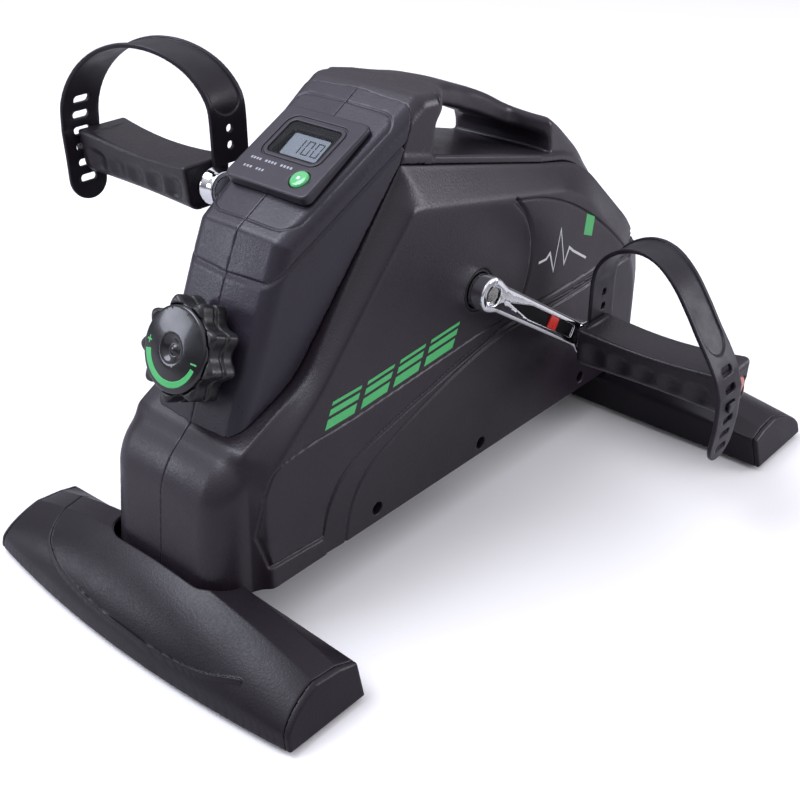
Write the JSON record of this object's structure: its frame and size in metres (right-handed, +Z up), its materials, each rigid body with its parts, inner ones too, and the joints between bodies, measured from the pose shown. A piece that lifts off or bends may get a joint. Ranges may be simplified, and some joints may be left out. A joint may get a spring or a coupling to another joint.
{
  "type": "pedal exerciser",
  "caption": "Floor-standing mini exercise bike with two cranks and strapped pedals, a belt-driven braked flywheel, a tension knob, a small display and a carrying handle.",
  "frame": {"origin": "on the floor, at the middle of the machine's overall box", "axes": "+X to the user's right along the crank axis, -Y towards the user (knob end), +Z up"},
  "size_m": [0.3824, 0.47, 0.2889],
  "materials": {
    "body_plastic": "fine moulded texture, charcoal",
    "cover_plastic": "fine moulded texture, charcoal",
    "column_plastic": "fine moulded texture, grey",
    "bezel_plastic": "satin, grey",
    "foot_plastic": "satin moulded, black",
    "inner_plastic": "moulded, black",
    "pad_rubber": "matt",
    "hub_rubber": "matt",
    "belt_rubber": "matt",
    "cable_sheath": "smooth",
    "frame_paint": "black paint",
    "tube_steel": "bare tube",
    "zinc_steel": "zinc plated",
    "bush_bronze": "sintered bronze",
    "ground_steel": "ground",
    "spring_steel": "drawn wire",
    "bracket_steel": "pressed sheet",
    "magnet_metal": "nickel plated",
    "arm_chrome": "bright chrome plate",
    "pedal_plastic": "fine moulded grain",
    "strap_rubber": "satin moulded rubber",
    "plug_plastic": "salmon",
    "flywheel_iron": "turned rim",
    "knob_plastic": "satin black",
    "dial_gloss": "high gloss black",
    "window_clear": "clear window",
    "lcd_panel": "reflective LCD",
    "board_green": "solder mask",
    "battery_jacket": "printed jacket",
    "button_green": "translucent green"
  },
  "bodies": {
    "base": {"left_shell": "body_plastic", "right_shell": "body_plastic", "column_left": "column_plastic", "column_right": "column_plastic", "top_cover": "cover_plastic", "belly_plate": "inner_plastic", "front_foot_cover": "foot_plastic", "rear_foot_cover": "foot_plastic", "front_foot_caps": "foot_plastic", "rear_foot_caps": "foot_plastic", "front_foot_tube": "tube_steel", "rear_foot_tube": "tube_steel", "foot_pads": "pad_rubber", "foot_bolts": "zinc_steel", "base_frame": "frame_paint", "shell_screws": "zinc_steel", "plate_screws": "zinc_steel", "hub_rings": "hub_rubber", "crank_bushes": "bush_bronze", "speed_sensor": "board_green", "flywheel_axle": "ground_steel", "axle_nuts": "zinc_steel", "drive_belt": "belt_rubber", "bracket_pin": "zinc_steel", "torsion_spring": "spring_steel", "brake_cable": "cable_sheath", "shaft_bush": "inner_plastic", "console_bezel": "bezel_plastic", "lcd_window": "window_clear", "lcd_module": "lcd_panel", "circuit_board": "board_green", "battery_cell": "battery_jacket"},
    "crank": {"crank_spindle": "ground_steel", "left_crank_arm": "arm_chrome", "right_crank_arm": "arm_chrome", "crank_bolts": "zinc_steel", "drive_pulley": "inner_plastic", "sensor_magnet": "magnet_metal", "left_pedal_spindle": "ground_steel", "right_pedal_spindle": "ground_steel", "pedal_nuts": "zinc_steel"},
    "right_pedal": {"right_pedal_body": "pedal_plastic", "right_pedal_strap": "strap_rubber", "right_pedal_plug": "plug_plastic"},
    "left_pedal": {"left_pedal_body": "pedal_plastic", "left_pedal_strap": "strap_rubber", "left_pedal_plug": "plug_plastic"},
    "flywheel": {"flywheel": "flywheel_iron", "flywheel_bearings": "ground_steel", "flywheel_pulley": "inner_plastic"},
    "brake": {"magnet_bracket": "bracket_steel", "brake_magnets": "magnet_metal"},
    "knob": {"tension_knob": "knob_plastic", "knob_dial": "dial_gloss", "knob_shaft": "ground_steel"},
    "button": {"select_button": "button_green"}
  },
  "joints": [
    {"name": "crank_spin", "type": "hinge", "parent": "base", "child": "crank", "pos_m": [0, 0.01, 0.15], "axis": [1, 0, 0], "continuous": true},
    {"name": "right_pedal_spin", "type": "hinge", "parent": "crank", "child": "right_pedal", "pos_m": [0.13, 0.09589, 0.09315], "axis": [1, 0, 0], "continuous": true},
    {"name": "left_pedal_spin", "type": "hinge", "parent": "crank", "child": "left_pedal", "pos_m": [-0.13, -0.07589, 0.20685], "axis": [1, 0, 0], "continuous": true},
    {"name": "flywheel_spin", "type": "hinge", "parent": "base", "child": "flywheel", "pos_m": [-0.012, 0.115, 0.118], "axis": [1, 0, 0], "continuous": true},
    {"name": "knob_turn", "type": "hinge", "parent": "base", "child": "knob", "pos_m": [0, -0.1531, 0.155], "axis": [0, -0.9205, 0.3907], "range_deg": [0, 270]},
    {"name": "brake_swing", "type": "hinge", "parent": "base", "child": "brake", "pos_m": [-0.012, 0.058, 0.064], "axis": [1, 0, 0], "range_deg": [0, 10]},
    {"name": "button_press", "type": "slide", "parent": "base", "child": "button", "axis": [0, -0.5045, 0.8634], "range_m": [-0.0015, 0], "stiffness_N_per_m": 300}
  ],
  "couplings": [
    {"joint": "flywheel_spin", "follows": "crank_spin", "ratio": 4},
    {"joint": "brake_swing", "follows": "knob_turn", "ratio": 0.037}
  ]
}
